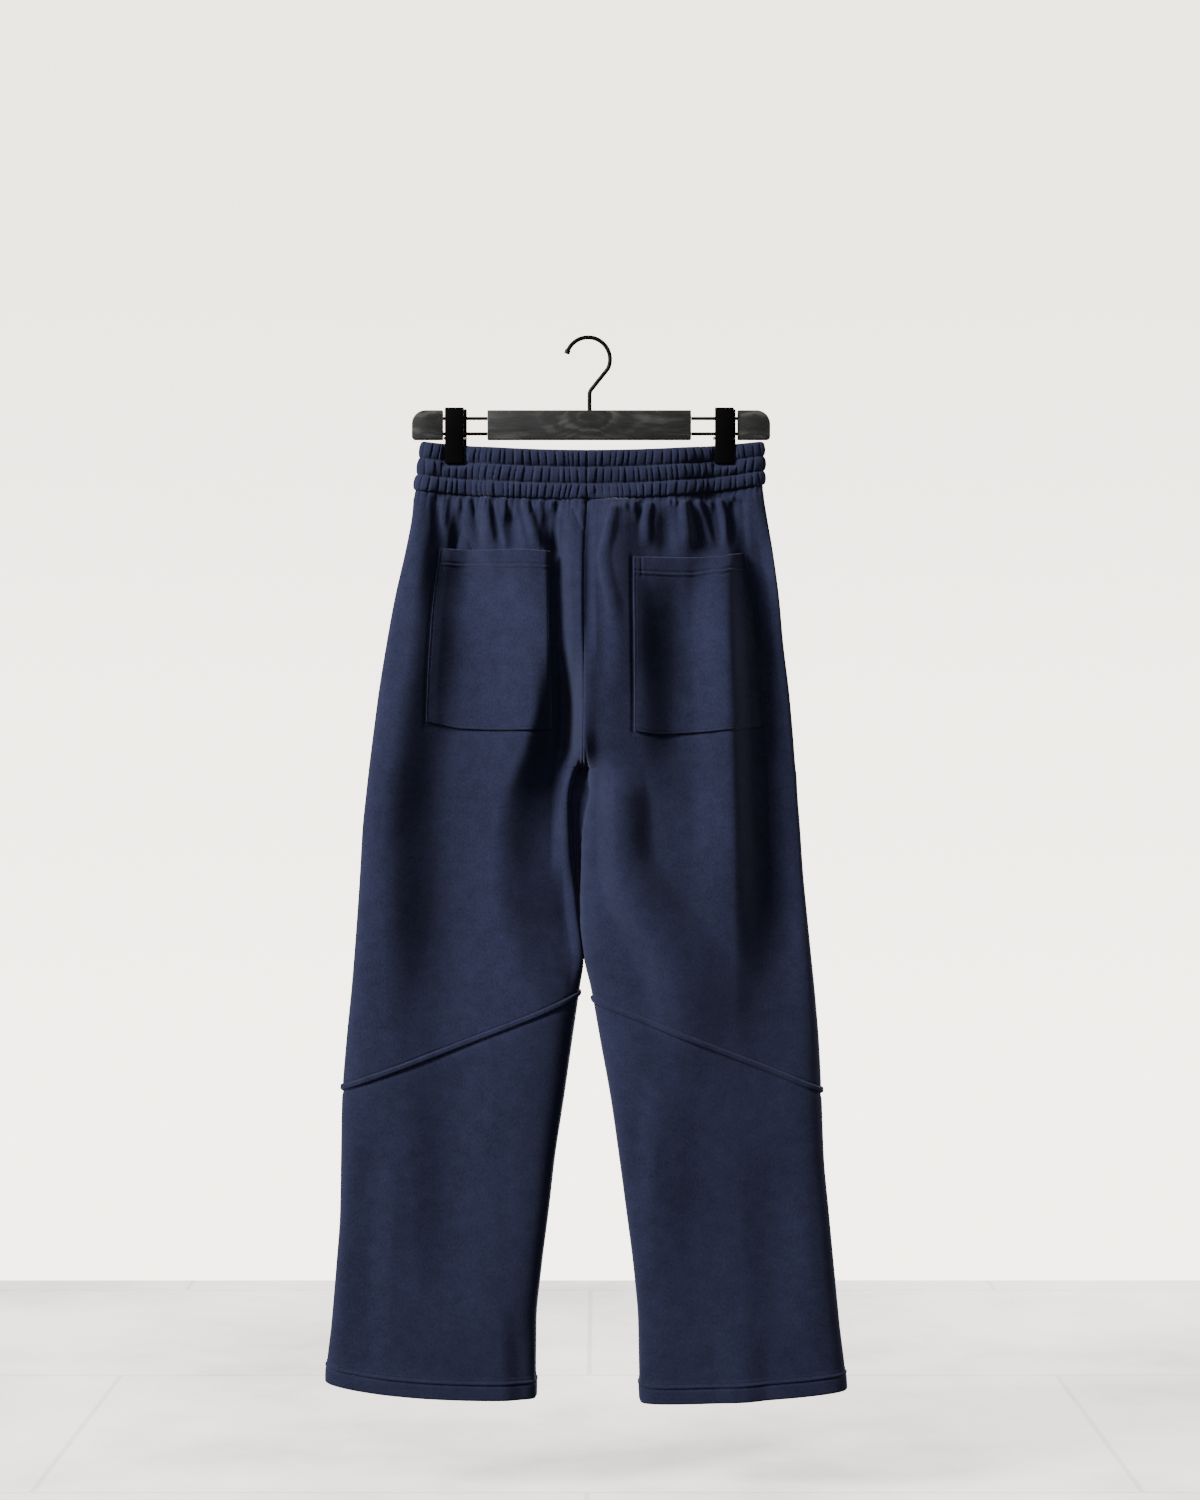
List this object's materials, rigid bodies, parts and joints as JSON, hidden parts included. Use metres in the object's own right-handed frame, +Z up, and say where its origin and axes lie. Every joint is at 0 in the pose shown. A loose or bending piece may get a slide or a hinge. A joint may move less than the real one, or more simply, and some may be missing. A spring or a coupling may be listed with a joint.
{
  "type": "wide-leg track pants on a clip hanger",
  "caption": "Full-length wide-leg fleece track pants with a shirred elastic waistband and back patch pockets, hung by the waistband from a bar hanger with sliding clips and a wire hook.",
  "frame": {"origin": "inner top of the hanger's hook, where the wire rests on what holds it", "axes": "+Z up, +X to the right as seen from the garment's back, +Y from the garment's back to its front"},
  "size_m": [0.56, 0.1024, 1.1483],
  "materials": {
    "fleece": "matt navy heavy loopback fleece with a fine knit face",
    "waistband": "the same fleece, shirred in three elastic channels",
    "hanger_wood": "black stained wood, satin, grain showing",
    "clip_plastic": "black moulded plastic",
    "rod_steel": "blackened steel rod",
    "hook_steel": "blackened steel wire",
    "pin_steel": "bright steel pin"
  },
  "bodies": {
    "root": {"waistband": "waistband", "back_upper_left": "fleece", "back_upper_right": "fleece", "back_lower_left": "fleece", "back_lower_right": "fleece", "front_left": "fleece", "front_right": "fleece", "pocket_left": "fleece", "pocket_right": "fleece", "bar_centre": "hanger_wood", "bar_end_left": "hanger_wood", "bar_end_right": "hanger_wood", "clip_carrier_left": "clip_plastic", "clip_jaw_near_left": "clip_plastic", "clip_jaw_far_left": "clip_plastic", "clip_carrier_right": "clip_plastic", "clip_jaw_near_right": "clip_plastic", "clip_jaw_far_right": "clip_plastic", "hook": "hook_steel", "rod_upper_left": "rod_steel", "rod_lower_left": "rod_steel", "rod_upper_right": "rod_steel", "rod_lower_right": "rod_steel", "clip_pin_left": "pin_steel", "clip_pin_right": "pin_steel"}
  },
  "joints": []
}
